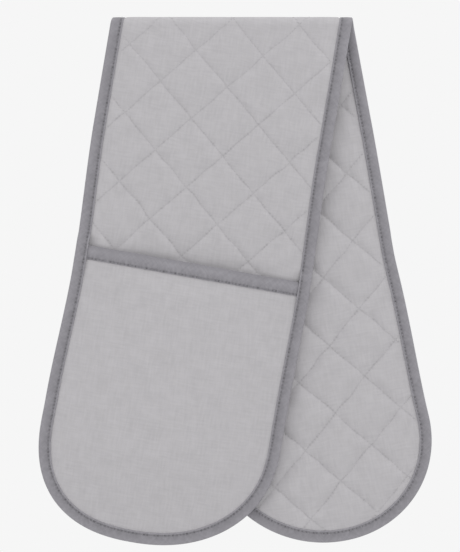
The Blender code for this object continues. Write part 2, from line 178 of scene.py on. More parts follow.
def centre_at(half, s):
    run = np.maximum(s - half.drift_start, 0) / (half.length - half.drift_start)
    sway = smooth(1 - np.abs(s - SWAY_MIDDLE) / SWAY_REACH)
    return half.sway * sway - half.drift * run**half.drift_power


def half_width_at(half, s):
    return HALF_WIDTH + half.flare * smooth((s - MITT_START) / (half.end_start - MITT_START))


# %% [markdown]
# The outline is followed from the fold down the outer side, round the end and back up the inner
# side. Every ring of the quilt and every line of the edge tape is this line moved inwards.

# %% The outline and its rings
FOLD_ROWS = np.array([0, 0.3, 0.8, 1.5, 2.3, 3.2, 4.2, 5.3, 6.5, 7.8, 9.2, 11.0]) / 1000
SIDE_STEP = 0.0030
END_STEPS = 84
LEAD_IN, BATCH = 0.05, 2000


def end_points(half, turn):
    power = 2 / half.end_power
    rise = np.abs(np.sin(turn)) ** power
    reach = np.sign(np.cos(turn)) * np.abs(np.cos(turn)) ** power
    s = half.end_start + END_ROUNDING * rise
    return np.stack([centre_at(half, s) + (HALF_WIDTH + half.flare) * reach, s], axis=-1)


def side_places(half, side, step):
    """Places along one side, which all start clear of the last row at the fold."""
    starts = [along_at(side * (HALF_WIDTH - inset), FOLD_ROWS[-1]) for inset in (0, RAMP_START)]
    first = max(starts) + step
    count = round((half.end_start - first) / step)
    return np.linspace(first, half.end_start, count + 1)


def ring_line(half, inset, step=SIDE_STEP, end_steps=END_STEPS, rows=FOLD_ROWS):
    """The outline moved in by inset, as points in flat coordinates."""
    left, right = (side_places(half, side, step) for side in (-1, 1))
    turns = np.linspace(math.pi, 0, end_steps + 1)[1:-1]
    nudge = math.pi / 2000
    tangent = end_points(half, turns - nudge) - end_points(half, turns + nudge)
    inwards = unit(np.stack([tangent[:, 1], -tangent[:, 0]], axis=-1))

    def row_points(side, depths):
        a = np.full(len(depths), side * (HALF_WIDTH - inset))
        return np.stack([a, along_at(a, depths)], axis=-1)

    def side_points(side, s):
        a = centre_at(half, s) + side * (half_width_at(half, s) - inset)
        return np.stack([a, s], axis=-1)

    return np.concatenate(
        [
            row_points(-1, rows),
            side_points(-1, left),
            end_points(half, turns) + inwards * inset,
            side_points(1, right[::-1]),
            row_points(1, rows[::-1]),
        ]
    )


def distance_inside(half):
    """A function that gives how far points lie inside the outline, negative outside it."""
    line = ring_line(half, 0)
    line = np.concatenate([line[:1] - (0, LEAD_IN), line, line[-1:] - (0, LEAD_IN)])
    start, way = line[:-1], line[1:] - line[:-1]
    square = (way**2).sum(1)

    def distance(points):
        out = np.empty(len(points))
        for k in range(0, len(points), BATCH):
            p = points[k : k + BATCH, None, :] - start
            share = np.clip((p * way).sum(2) / square, 0, 1)
            off = p - share[:, :, None] * way
            far = np.sqrt((off**2).sum(2))
            best = far.argmin(1)
            index = np.arange(len(best))
            side = way[best, 0] * p[index, best, 1] - way[best, 1] * p[index, best, 0]
            out[k : k + BATCH] = np.where(side < 0, far[index, best], -far[index, best])
        return out

    return distance


def line_lengths(line):
    return np.concatenate([[0], np.cumsum(np.linalg.norm(np.diff(line, axis=0), axis=1))])


DISTANCE = {half.name: distance_inside(half) for half in HALVES}
for half in HALVES:
    print(half.name, "edge in mm:", round(line_lengths(ring_line(half, 0))[-1] * 1000))

# %% [markdown]
# The diamond quilting is two sets of parallel seams. A place in it is counted in seams of each
# set, so a whole number is on a seam and the middle of a diamond ends in a half twice.

# %% The quilting lattice
QUILT_PITCH, STITCH_PITCH = 0.0382, 0.0029
QUILT_STITCHES = round(QUILT_PITCH / STITCH_PITCH)
OUTER_PULL, INNER_PULL = 0.0028, 0.0037
SEAM_ROUNDING = 1.35
QUILT_START = np.array([-0.0234, 0.0329])


def lattice_step(length, degrees):
    angle = math.radians(degrees)
    return length * np.array([math.cos(angle), math.sin(angle)])


QUILT_A, QUILT_B = lattice_step(0.0384, 40.7), lattice_step(0.0380, 129.3)
LATTICE = np.linalg.inv(np.array([QUILT_A, QUILT_B]))


def lattice_of(sign, points):
    return (sign * points - QUILT_START) @ LATTICE


def lattice_point(sign, m, n):
    return sign * (QUILT_START + np.multiply.outer(m, QUILT_A) + np.multiply.outer(n, QUILT_B))


def seam_distances(places):
    """How far places lie from the nearest seam of each set."""
    return np.abs(places - np.round(places)) * QUILT_PITCH


def pulled_in(places, pull):
    """0 on a seam and 1 well inside a diamond: the wadding only gives way near the thread."""
    return (1 - np.exp(-((seam_distances(places) / pull) ** SEAM_ROUNDING))).prod(1)


# %% [markdown]
# The heights of the layers follow the CAD model: thin under the tape, then up to the full quilt.
# A pocket panel lies close at its sewn edge and arches clear in the middle, where a hand goes in.


# %% Heights of the layers
CLIMB_START, CLIMB_RUN = MOUTH_DISTANCE - 0.011, 0.010
ROUND_SHARE, STEEP_SHARE, STEEP_POWER = 0.35, 0.65, 1.6


def quilt_height(edge, fill, seam, crest):
    """How far a quilted face lies from the middle surface: seam at fill 0, crest at fill 1."""
    full = mix(seam, crest, fill)
    return mix(QUILT_EDGE / 2, full, ramp(edge, RAMP_START, RAMP_END - RAMP_START))


def edge_room(s):
    return GAP + RISE * (1 - ramp(s, MOUTH_LEVEL_END, SETTLE))


def pocket_thickness(edge, s):
    inwards = ramp(edge, RAMP_START, PANEL_RAMP)
    down = ramp(s, MOUTH_LEVEL_END, SETTLE)
    return mix(POCKET_EDGE, POCKET_THICKNESS, inwards * down)


def pocket_top(edge, s):
    rise = np.clip((edge - RAMP_START) / (DOME_RUN - RAMP_START), 0, 1)
    dome = ROUND_SHARE * smooth(rise) + STEEP_SHARE * (1 - (1 - rise) ** STEEP_POWER)
    crown = mix(MOUTH_ROOM, POCKET_ROOM, ramp(s, MOUTH_LEVEL_END, MOUTH_RUN))
    low = QUILT_EDGE / 2 + edge_room(s) + POCKET_EDGE
    high = QUILT_CREST / 2 + crown + pocket_thickness(DOME_RUN, s)
    return mix(low, high, dome)


def pocket_base(edge, s):
    return pocket_top(edge, s) - pocket_thickness(edge, s)


def stack_top(s):
    """Height of what the edge tape's outer side lies on, as it climbs on to the pocket."""
    pocket = edge_room(s) + POCKET_EDGE + RISE * (1 - ramp(s, MOUTH_LEVEL_END, SETTLE))
    return QUILT_EDGE / 2 + pocket * ramp(s, CLIMB_START, CLIMB_RUN)


def ripple(points, wave, seed):
    """Smooth noise over flat places, from about -1 to 1."""
    return np.array([noise.noise(Vector((x / wave, y / wave, seed))) for x, y in points])


def rumple(points, waves):
    """The sum of ripples, each given as its depth, its wave and its seed."""
    return sum(depth * ripple(points, wave, seed) for depth, wave, seed in waves)


def line_noise(x, wave, *seeds):
    """Smooth noise along a line, from about -1 to 1."""
    return noise.noise(Vector((x / wave, *seeds)))


# %% [markdown]
# A flat sheet starts as points: rings that follow the edge, rows that follow the fold and,
# inside, the quilting's own grid, so that seams run along edges of the mesh. A constrained
# triangulation joins them, and triangles are merged to quads, which subdivide more smoothly.

# %% Flat sheets
RING_INSETS = (RIM, 0.0045, 0.0080, 0.0102, RAMP_START, 0.0125)
INNER_MARGIN, OUTER_MARGIN = 0.0150, 0.01
FOLD_CLEAR, MOUTH_CLEAR = 0.0012, 0.0015
LATTICE_REACH, CELL_STEPS, PANEL_REACH = 16, 12, 0.12
CELL_PLACES = np.array(
    [0, 0.030, 0.070, 0.130, 0.215, 0.335, 0.5, 0.665, 0.785, 0.870, 0.930, 0.970]
)


def triangulate(points, lines):
    points = [Vector(p) for p in points]
    places, _, faces, *_ = delaunay_2d_cdt(points, lines, [], 1, 1e-6)
    return np.array([tuple(p) for p in places]), [tuple(f) for f in faces]


def closed_lines(first, count, close):
    lines = [(first + k, first + k + 1) for k in range(count - 1)]
    return lines + [(first + count - 1, first)] if close else lines


def quilt_sheet(half):
    """Points and faces of a quilted half laid flat."""
    points, lines = [], []
    for k, inset in enumerate(RING_INSETS):
        ring = ring_line(half, inset)
        lines += closed_lines(len(points), len(ring), close=False)
        points += ring.tolist()
    inner = HALF_WIDTH - RING_INSETS[-1]
    count = round(2 * inner / SIDE_STEP)
    a_row = np.linspace(-inner, inner, count + 1)[1:-1]
    ring_length = len(ring_line(half, RIM))
    for k, depth in enumerate(FOLD_ROWS):
        first = len(points)
        points += np.stack([a_row, along_at(a_row, depth)], axis=-1).tolist()
        left = [i * ring_length + k for i in range(len(RING_INSETS))]
        right = [(i + 1) * ring_length - 1 - k for i in range(len(RING_INSETS))]
        row = left + list(range(first, len(points))) + right[::-1]
        lines += list(zip(row, row[1:]))
    step = np.arange(-LATTICE_REACH * CELL_STEPS, LATTICE_REACH * CELL_STEPS + 1)
    i, j = np.meshgrid(step, step, indexing="ij")
    spot = [k // CELL_STEPS + CELL_PLACES[k % CELL_STEPS] for k in (i, j)]
    grid = lattice_point(half.sign, *spot)
    box = (np.abs(grid[..., 0]) < HALF_WIDTH + OUTER_MARGIN) & (grid[..., 1] < half.length)
    box &= depth_of(grid[..., 0], grid[..., 1]) > FOLD_ROWS[-1] + FOLD_CLEAR
    i, j, grid = i[box], j[box], grid[box]
    keep = DISTANCE[half.name](grid) > INNER_MARGIN
    i, j, grid = i[keep], j[keep], grid[keep]
    number = {(x, y): len(points) + k for k, (x, y) in enumerate(zip(i, j))}
    points += grid.tolist()
    for (x, y), k in number.items():
        for other, seam in (((x + 1, y), y % CELL_STEPS == 0), ((x, y + 1), x % CELL_STEPS == 0)):
            if seam and other in number:
                lines.append((k, number[other]))
    return triangulate(points, lines)


def pocket_sheet(half):
    """Points and faces of a pocket panel laid flat."""
    mouth = MOUTH_DISTANCE + RIM
    points, lines = [], []
    for inset in RING_INSETS:
        ring = ring_line(half, inset)
        ring = ring[ring[:, 1] > mouth + MOUTH_CLEAR]
        ends = [[centre_at(half, mouth) + side * (HALF_WIDTH - inset), mouth] for side in (-1, 1)]
        ring = np.concatenate([ends[:1], ring, ends[1:]])
        lines += closed_lines(len(points), len(ring), close=inset == RIM)
        points += ring.tolist()
    a = np.arange(-PANEL_REACH, PANEL_REACH, SIDE_STEP)
    s = np.arange(mouth, half.length, SIDE_STEP)
    grid = np.stack(np.meshgrid(a, s), axis=-1).reshape(-1, 2)
    keep = DISTANCE[half.name](grid) > INNER_MARGIN
    grid = grid[keep]
    points += grid.tolist()
    return triangulate(points, lines)


# %% [markdown]
# Padding pushes cloth out wherever it isn't sewn down. Each quilted face is given to Blender's
# cloth solver with its seams and its bound edge held, and a light pressure from within blows up
# the diamonds. The billow is then scaled to the quilt's measured relief, and one subdivision
# rounds it.

# %% Billowing cloth
BILLOW_FRAMES = 16


def new_object(name, mesh, edit, **options):
    """Makes a mesh the active object and runs one mesh operator on all of it."""
    made = bpy.data.objects.new(name, mesh)
    bpy.context.collection.objects.link(made)
    bpy.ops.object.select_all(action="DESELECT")
    bpy.context.view_layer.objects.active = made
    made.select_set(True)
    bpy.ops.object.mode_set(mode="EDIT")
    bpy.ops.mesh.select_all(action="SELECT")
    edit(**options)
    bpy.ops.object.mode_set(mode="OBJECT")
    return made


def flat_object(name, points, faces):
    mesh = bpy.data.meshes.new(name)
    mesh.from_pydata([(x, y, 0) for x, y in points], [], faces)
    bends = {"face_threshold": math.radians(40), "shape_threshold": math.radians(50)}
    return new_object(name, mesh, bpy.ops.mesh.tris_convert_to_quads, **bends)


def vertex_places(made):
    co = np.empty(len(made.data.vertices) * 3)
    made.data.vertices.foreach_get("co", co)
    return co.reshape(-1, 3)


def billow(made, sewn, pressure, looseness):
    """Runs the cloth solver on a flat object whose sewn points are held, and applies it."""
    group = made.vertex_groups.new(name="sewn")
    group.add([int(k) for k in np.flatnonzero(sewn)], 1, "REPLACE")
    cloth = made.modifiers.new("billow", "CLOTH")
    settings = cloth.settings
    settings.vertex_group_mass = "sewn"
    settings.quality = 4
    settings.mass = 0.15
    settings.tension_stiffness = settings.compression_stiffness = 25
    settings.shear_stiffness = 12
    settings.bending_stiffness = 0.3
    settings.shrink_min = settings.shrink_max = -looseness
    settings.use_pressure = True
    settings.uniform_pressure_force = pressure
    settings.effector_weights.gravity = 0
    cloth.collision_settings.use_collision = False
    cloth.point_cache.frame_end = BILLOW_FRAMES
    for step in range(1, BILLOW_FRAMES + 1):
        bpy.context.scene.frame_set(step)
    bpy.ops.object.modifier_apply(modifier="billow")
    bpy.context.scene.frame_set(1)
    made.vertex_groups.clear()


def rounded(made):
    """Subdivides a flat object once and removes it: its points and its faces."""
    rounding = made.modifiers.new("rounding", "SUBSURF")
    rounding.levels = rounding.render_levels = 1
    bpy.ops.object.modifier_apply(modifier="rounding")
    points, faces = vertex_places(made), [tuple(p.vertices) for p in made.data.polygons]
    bpy.data.objects.remove(made)
    return points, faces


# %% [markdown]
# A padded piece is one closed body: its upper face, its lower face turned over, and a narrow wall
# that joins them along the edge. The flat places are kept as a UV map in metres, for the weave,
# and the lattice places as a second one, for the quilting.


# %% Closed bodies from flat sheets
def build_mesh(name, points, faces, maps, material):
    """A mesh object with smooth faces and named UV maps, given as one place for each point."""
    mesh = bpy.data.meshes.new(name)
    mesh.from_pydata(points.tolist(), [], faces)
    corners = np.empty(len(mesh.loops), int)
    mesh.loops.foreach_get("vertex_index", corners)
    for label, places in maps.items():
        layer = mesh.uv_layers.new(name=label)
        layer.data.foreach_set("uv", places[corners].astype(np.float32).ravel())
    mesh.materials.append(material)
    made = new_object(name, mesh, bpy.ops.mesh.normals_make_consistent, inside=False)
    bpy.ops.object.shade_smooth()
    triangles = sum(len(p.vertices) - 2 for p in mesh.polygons)
    print(name, "has", triangles, "triangles")
    return made


def rim_of(faces):
    sides = {(f[k - 1], f[k]) for f in faces for k in range(len(f))}
    return [(i, j) for i, j in sorted(sides) if (j, i) not in sides]


def padded_body(half, name, flat_upper, upper, flat_lower, lower, faces, material, laid=None):
    """Two flat faces with heights, hung over the rail and joined round their rim."""

    def hung(flat, heights):
        places = laid(half, flat) if laid else flat
        return hang(half.sign, *places.T, heights)

    count = len(upper)
    shell = [tuple(f) for f in faces]
    shell += [tuple(count + i for i in reversed(f)) for f in faces]
    shell += [(j, i, count + i, count + j) for i, j in rim_of(faces)]
    flat = np.concatenate([flat_upper, flat_lower])
    maps = {"flat": half.sign * flat, "quilting": lattice_of(half.sign, flat)}
    points = np.concatenate([hung(flat_upper, upper), hung(flat_lower, lower)])
    return build_mesh(name, points, shell, maps, material)


# %% [markdown]
# Materials. The body is a plain-woven grey cotton, a little uneven, with slubs along both
# threads. The weave is far finer than a pixel, so it is mostly bump. One group makes it for every
# cloth.


# %% Weave group
def new_group(name, inputs, outputs):
    group = bpy.data.node_groups.new(name, "ShaderNodeTree")
    for label, kind, value in inputs:
        socket = group.interface.new_socket(label, in_out="INPUT", socket_type=kind)
        if value is not None:
            socket.default_value = value
    for label, kind in outputs:
        group.interface.new_socket(label, in_out="OUTPUT", socket_type=kind)
    return group, group.nodes.new("NodeGroupInput"), group.nodes.new("NodeGroupOutput")


class Wiring:
    """Short ways to add and link nodes in one tree."""

    def __init__(self, tree):
        self.tree = tree

    def node(self, kind):
        return self.tree.nodes.new("ShaderNode" + kind)

    def put(self, socket, value):
        if isinstance(value, bpy.types.NodeSocket):
            self.tree.links.new(value, socket)
        else:
            socket.default_value = value

    def fill(self, node, values):
        for label, value in values.items():
            self.put(node.inputs[label], value)

    def math(self, operation, *values):
        node = self.node("Math")
        node.operation = operation
        for socket, value in zip(node.inputs, values):
            self.put(socket, value)
        return node.outputs[0]

    def times(self, one, other):
        return self.math("MULTIPLY", one, other)

    def vector(self, operation, *values):
        node = self.node("VectorMath")
        node.operation = operation
        for socket, value in zip(node.inputs, values):
            self.put(socket, value)
        return node.outputs["Value" if operation == "DOT_PRODUCT" else 0]

    def split(self, value):
        node = self.node("SeparateXYZ")
        self.put(node.inputs[0], value)
        return node.outputs

    def noise(self, place, scale, detail=2.0, roughness=0.5):
        node = self.node("TexNoise")
        self.fill(node, {"Vector": place, "Scale": scale, "Detail": detail, "Roughness": roughness})
        return node.outputs["Fac"]

    def span(self, value, from_low, from_high, to_low, to_high):
        node = self.node("MapRange")
        node.interpolation_type = "SMOOTHSTEP"
        for socket, amount in zip(node.inputs, (value, from_low, from_high, to_low, to_high)):
            self.put(socket, amount)
        return node.outputs[0]

    def blend(self, share, low, high):
        node = self.node("Mix")
        node.data_type = "RGBA"
        self.fill(node, {"Factor": share, "A": low, "B": high})
        return node.outputs["Result"]


def weave_group():
    """Height of plain-woven threads, and a shade that varies with slubs and blotches, round 0.5."""
    group, start, end = new_group(
        "plain weave",
        [("Place", "NodeSocketVector", None), ("Pitch", "NodeSocketFloat", 0.0005)],
        [("Height", "NodeSocketFloat"), ("Shade", "NodeSocketFloat")],
    )
    w = Wiring(group)
    place = start.outputs["Place"]
    scaled = w.vector("SCALE", place)
    w.put(scaled.node.inputs["Scale"], w.math("DIVIDE", math.pi, start.outputs["Pitch"]))
    x, y, _ = w.split(scaled)
    warp, weft = w.math("SINE", x), w.math("SINE", y)
    over = w.times(warp, weft)
    crown = w.math("MAXIMUM", w.math("ABSOLUTE", warp), w.math("ABSOLUTE", weft))
    height = w.math("MULTIPLY_ADD", over, 0.35, crown)
    w.put(end.inputs["Height"], height)
    shade = w.times(w.noise(place, 70.0, 3.0, 0.6), 0.24)
    for fine, long, share in ((1600.0, 110.0, 0.14), (620.0, 70.0, 0.24)):
        for way in ((fine, long, 1.0), (long, fine, 1.0)):
            slubs = w.noise(w.vector("MULTIPLY", place, way), 1.0)
            shade = w.math("MULTIPLY_ADD", slubs, share, shade)
    w.put(end.inputs["Shade"], shade)
    return group


WEAVE = weave_group()


# %% [markdown]
# Quilting stitches pull small dimples into the cloth along each seam. A second group finds
# the painted shade of both from the lattice places: a soft band of painted shade along each seam's
# valley and a dark spot in the dimple at each needle hole, with pucker heights for the bump. It
# works from how many mm a point is from the nearest seam of each set, and how far along a stitch
# it lies. Taut cloth near the fold shows them less.

# %% Quilting group
def quilting_group():
    group, start, end = new_group(
        "quilting marks",
        [("Place", "NodeSocketVector", None), ("Flat", "NodeSocketVector", None)],
        [("Line", "NodeSocketFloat"), ("Holes", "NodeSocketFloat"), ("Puckers", "NodeSocketFloat")],
    )
    w = Wiring(group)
    place = start.outputs["Place"]
    m, n, _ = w.split(place)
    uneven = w.span(w.noise(place, 4.3, 3.0, 0.7), 0.40, 0.62, 0.05, 1.0)
    downwards = (math.sin(FOLD_SKEW), math.cos(FOLD_SKEW), 0.0)
    depth = w.math("ABSOLUTE", w.vector("DOT_PRODUCT", start.outputs["Flat"], downwards))
    uneven = w.times(uneven, w.span(depth, 0.004, 0.110, 0.30, 1.0))

    def marks(across, along):
        off = w.times(w.math("PINGPONG", across, 0.5), QUILT_PITCH * 1000)
        stitches = w.times(along, QUILT_STITCHES)
        phase = w.times(w.math("PINGPONG", stitches, 0.5), 2.0)
        # Painted shade along the seam's valley, out to 2.2 mm on each side.
        line = w.span(off, 0.0, 2.2, 1.0, 0.0)
        # Painted shade in the dimple at each needle hole.
        hole = w.times(w.span(off, 0.2, 1.2, 1.0, 0.0), w.span(phase, 0.05, 0.7, 1.0, 0.0))
        ridge = w.times(w.span(off, 0.3, 4.5, 1.0, 0.0), phase)
        return line, hole, ridge

    first, second = marks(n, m), marks(m, n)
    for label, one, other in zip(("Line", "Holes", "Puckers"), first, second):
        w.put(end.inputs[label], w.times(w.math("MAXIMUM", one, other), uneven))
    return group


QUILTING = quilting_group()


# %% [markdown]
# A tape's seam is painted darker than the rest, as painted shade: at the hole the needle leaves
# at each end of a stitch, in the groove that the thread pulls, and in the short puckers that run
# across the tape from it. This group finds them from the distance in from the tape's fold and the
# count of stitches along it. All fall off faster on the lip's side of the seam. It also gives a
# painted shade that darkens the tape from its rolled fold towards the seam, so the fold looks lit,
# and a painted shadow along the fold's own edge.

# %% Seam group
def seam_group():
    group, start, end = new_group(
        "seam marks",
        [("Place", "NodeSocketVector", None), ("Seam", "NodeSocketFloat", 0.008)],
        [(label, "NodeSocketFloat") for label in ("Groove shade", "Holes", "Fade", "Puckers", "Fold edge shadow")],
    )
    w = Wiring(group)
    place = start.outputs["Place"]
    inset, count, _ = w.split(place)
    past = w.times(w.math("SUBTRACT", inset, start.outputs["Seam"]), 1000.0)
    off = w.math("ABSOLUTE", past)
    outwards = w.math("MAXIMUM", w.times(past, 5.0), w.times(past, -1.0))
    phase = w.times(w.math("PINGPONG", count, 0.5), 2.0)
    spots = w.noise(w.vector("MULTIPLY", place, (1.0, 0.62, 1.0)), 1.0, 3.0, 0.7)
    uneven = w.span(spots, 0.36, 0.64, 0.05, 1.0)
    strokes = w.noise(w.vector("MULTIPLY", place, (120.0, 0.85, 1.0)), 1.0, 2.0, 0.6)
    # Painted shade in the seam's groove, patchy along it.
    w.put(end.inputs["Groove shade"], w.times(w.span(off, 0.2, 1.9, 1.0, 0.0), uneven))
    # Painted shade in the needle holes.
    hole = w.times(w.span(off, 0.25, 1.05, 1.0, 0.0), w.span(phase, 0.15, 0.90, 1.0, 0.0))
    w.put(end.inputs["Holes"], w.times(hole, uneven))
    # Painted shade: the tape grows darker from its rolled fold towards the seam, so the fold looks
    # lit.
    w.put(end.inputs["Fade"], w.span(outwards, 0.5, 7.5, 1.0, 0.0))
    # A painted shadow along the tape's folded edge, full within 0.6 mm of it and gone by 4.2 mm.
    w.put(end.inputs["Fold edge shadow"], w.span(inset, 0.0006, 0.0042, 1.0, 0.0))
    # Painted shade in short puckers across the tape near the seam; they are a bump as well.
    near = w.span(outwards, 0.3, 6.5, 1.0, 0.0)
    w.put(end.inputs["Puckers"], w.times(w.span(strokes, 0.35, 0.65, 0.0, 1.0), near))
    return group


SEAM = seam_group()


# %% [markdown]
# Cotton scatters light softly at its edges, so each cloth has a little sheen and a high
# roughness. The thread is a spun yarn: the needle's is darker than the tape, the bobbin's nearly
# matches it.


# %% Cloth and thread materials
def new_material(name):
    """A material, the wiring of its tree and its shader."""
    made = bpy.data.materials.new(name)
    made.use_nodes = True
    return made, Wiring(made.node_tree), made.node_tree.nodes["Principled BSDF"]


def shaded(colour, share):
    return tuple(min(c * share, 1) for c in colour) + (1.0,)


def cloth_material(name, colour, pitch, contrast, quilted=False, seam=None, seam_shade=0.40, fold_shadow=0.0):
    made, w, shader = new_material(name)

    def group_on(node_tree, uv_map):
        place = w.node("UVMap")
        place.uv_map = uv_map
        node = w.node("Group")
        node.node_tree = node_tree
        w.put(node.inputs["Place"], place.outputs[0])
        return node

    weave = group_on(WEAVE, "flat")
    weave.inputs["Pitch"].default_value = pitch
    shade = w.span(weave.outputs["Shade"], 0.32, 0.68, 0.0, 1.0)
    base = w.blend(shade, shaded(colour, 1 - contrast), shaded(colour, 1 + contrast))
    slubs = w.times(weave.outputs["Shade"], 0.12)
    height = w.math("MULTIPLY_ADD", weave.outputs["Height"], 0.05, slubs)
    if quilted:
        marks = group_on(QUILTING, "quilting")
        w.put(marks.inputs["Flat"], weave.inputs["Place"].links[0].from_socket)
        # Painted shade: the cloth is darker along the quilting seams' valleys and in the stitch
        # dimples.
        base = w.blend(w.times(marks.outputs["Line"], 0.17), base, shaded(colour, 0.78))
        base = w.blend(w.times(marks.outputs["Holes"], 0.34), base, shaded(colour, 0.45))
        sunk = w.math("MULTIPLY_ADD", marks.outputs["Puckers"], -0.5, marks.outputs["Holes"])
        height = w.math("SUBTRACT", height, w.times(sunk, 0.25))
    if seam:
        marks = group_on(SEAM, "seam")
        marks.inputs["Seam"].default_value = seam
        # Painted shade and painted shadow on the tape: each mask with its share and how dark it
        # makes the tape.
        shadows = (
            ("Fade", seam_shade, 0.74),
            ("Fold edge shadow", fold_shadow, 0.70),
            ("Puckers", 0.60, 0.68),
            ("Groove shade", 0.50, 0.60),
            ("Holes", 0.60, 0.34),
        )
        for label, share, dark in shadows:
            base = w.blend(w.times(marks.outputs[label], share), base, shaded(colour, dark))
        sunk = w.math("MULTIPLY_ADD", marks.outputs["Puckers"], 0.5, marks.outputs["Holes"])
        height = w.math("SUBTRACT", height, w.times(sunk, 0.3))
    relief = w.node("Bump")
    w.fill(relief, {"Strength": 0.35, "Distance": 0.001, "Height": height})
    w.fill(shader, {"Base Color": base, "Normal": relief.outputs[0], "Roughness": 0.92})
    w.fill(shader, {"Specular IOR Level": 0.2, "Sheen Weight": 0.15, "Sheen Roughness": 0.5})
    return made


def thread_material(name, colour):
    made, w, shader = new_material(name)
    fleck = w.noise(w.node("TexCoord").outputs["Object"], 900.0, 1.0)
    base = w.blend(fleck, shaded(colour, 0.8), shaded(colour, 1.15))
    w.fill(shader, {"Base Color": base, "Roughness": 0.7, "Sheen Weight": 0.2})
    return made


COTTON_LOOK = {"colour": (0.478, 0.466, 0.482), "pitch": 0.00055, "contrast": 0.08}
TAPE_LOOK = {"colour": (0.296, 0.287, 0.311), "pitch": 0.00042, "contrast": 0.15}
EDGE_LIP, MOUTH_LIP = 0.0020, 0.0011
EDGE_SEAM, MOUTH_SEAM = BINDING_WIDTH - EDGE_LIP, MOUTH_BINDING_WIDTH - MOUTH_LIP
COTTON = cloth_material("grey cotton, quilted", **COTTON_LOOK, quilted=True)
PLAIN = cloth_material("grey cotton, plain", **COTTON_LOOK)
TAPE = cloth_material("bias tape, edge", **TAPE_LOOK, seam=EDGE_SEAM)
# The mouth tape gets less painted shade towards its seam, and a painted shadow along its folded
# upper edge.
MOUTH_TAPE = cloth_material(
    "bias tape, mouth", **TAPE_LOOK, seam=MOUTH_SEAM, seam_shade=0.12, fold_shadow=0.45
)
NEEDLE_THREAD = thread_material("needle thread", (0.24, 0.233, 0.252))
BOBBIN_THREAD = thread_material("bobbin thread", (0.29, 0.282, 0.303))
QUILT_THREAD = thread_material("quilting thread", (0.42, 0.41, 0.425))

# %% [markdown]
# The quilted halves. Each is two cotton faces with wadding between, sewn through along the
# lattice. Near the fold and under the tape the cloth can't billow, so there it follows the CAD
# heights.

# %% Quilted halves
PRESSURE, LOOSENESS, FOLD_HOLD = 0.35, 0.004, 0.0075
ON_SEAM, ON_EDGE, ON_FOLD = 0.0001, RAMP_START + 0.0004, 1e-5
OUTER_FACE = (OUTER_PULL, OUTER_SEAM, OUTER_CREST, 0.22, 0.50)
INNER_FACE = (INNER_PULL, INNER_SEAM, INNER_CREST, 0.30, 0.10)
LEAN, FULL = 0.80, 1.05
EASE_START, EASE_RUN = 0.004, 0.020
COVER_START = MOUTH_DISTANCE - 0.006
SMOOTHED, SMOOTHED_RUN = 0.6, 0.01
TAUT_LEVEL, TAUT_SHARE, TAUT_RUN, TAUT_END = 0.0022, 0.75, 0.0022, 0.014
WANDER, WANDER_WAVE, WANDER_RUN = 0.0012, 0.015, 0.012


def quilt_relief(half, side, flat, billowed):
    """Heights of one face of the quilt at flat places, from how far the cloth billowed there."""
    pull, seam, crest, folded, kept = OUTER_FACE if side > 0 else INNER_FACE
    depth = depth_of(*flat.T)
    edge = DISTANCE[half.name](flat)
    fill = pulled_in(lattice_of(half.sign, flat), pull) * mix(LEAN, FULL, billowed)
    fill = mix(folded + kept * fill, fill, ramp(depth, EASE_START, EASE_RUN))
    covered = ramp(flat[:, 1], COVER_START, MOUTH_BINDING_WIDTH) if side > 0 else 0
    slack = (1 - SMOOTHED * fill) * (1 - covered) * ramp(edge, RAMP_START, SMOOTHED_RUN)
    uneven = rumple(flat, ((0.00016, 0.0085, 2.0 + side), (0.00012, 0.021, 5.0 + side)))
    height = quilt_height(edge, mix(fill, 1, covered), seam, mix(crest, QUILT_CREST / 2, covered))
    height = height + uneven * slack
    if side < 0:
        return height
    taut = ramp(edge, BINDING_WIDTH, TAUT_RUN) * (1 - ramp(depth, EASE_START, TAUT_END))
    return mix(height, TAUT_LEVEL, TAUT_SHARE * taut)


def wandered(half, flat):
    """Flat places moved a little sideways, because no seam is sewn quite straight."""
    free = smooth((DISTANCE[half.name](flat) - RAMP_START) / WANDER_RUN)
    free = free * smooth(depth_of(*flat.T) / WANDER_RUN)
    drift = np.stack([ripple(flat, WANDER_WAVE, seed) for seed in (11.3, 17.9)], axis=-1)
    return flat + WANDER * free[:, None] * drift


def quilt_face(half, side, points, faces):
    """One face of the quilt, billowed: its flat places, heights and faces after subdivision."""
    made = flat_object("billowing face", points, faces)
    start = vertex_places(made)[:, :2]
    sewn = seam_distances(lattice_of(half.sign, start)).min(1) < ON_SEAM
    sewn |= DISTANCE[half.name](start) < ON_EDGE
    sewn |= depth_of(*start.T) < FOLD_HOLD
    billow(made, sewn, PRESSURE, LOOSENESS)
    moved, shared = rounded(made)
    flat, rise = moved[:, :2], moved[:, 2]
    billowed = np.clip(rise / np.percentile(rise, 97), 0, 1.2)
    print(half.name, "face billows by mm:", np.percentile(rise * 1000, (5, 50, 97)).round(2))
    top = depth_of(*flat.T) < ON_FOLD
    flat[top, 1] = along_at(flat[top, 0], 0)
    return flat, side * quilt_relief(half, side, flat, billowed), shared


def make_quilt(half):
    points, faces = quilt_sheet(half)
    upper_flat, upper, shared = quilt_face(half, 1, points, faces)
    lower_flat, lower, _ = quilt_face(half, -1, points, faces)
    name = f"{half.name}_quilt"
    return padded_body(half, name, upper_flat, upper, lower_flat, lower, shared, COTTON, wandered)


quilts = {half.name: make_quilt(half) for half in HALVES}

# %% [markdown]
# The pocket panels are plain cotton over wadding, with a lining, sewn in round three sides.


# %% Pocket panels
PANEL_WAVES = ((0.0005, 0.045, 3.7), (0.0002, 0.016, 8.1))
FREE_RUN, FREE_MOUTH_RUN, LINING_SHARE = 0.03, 0.02, 0.6


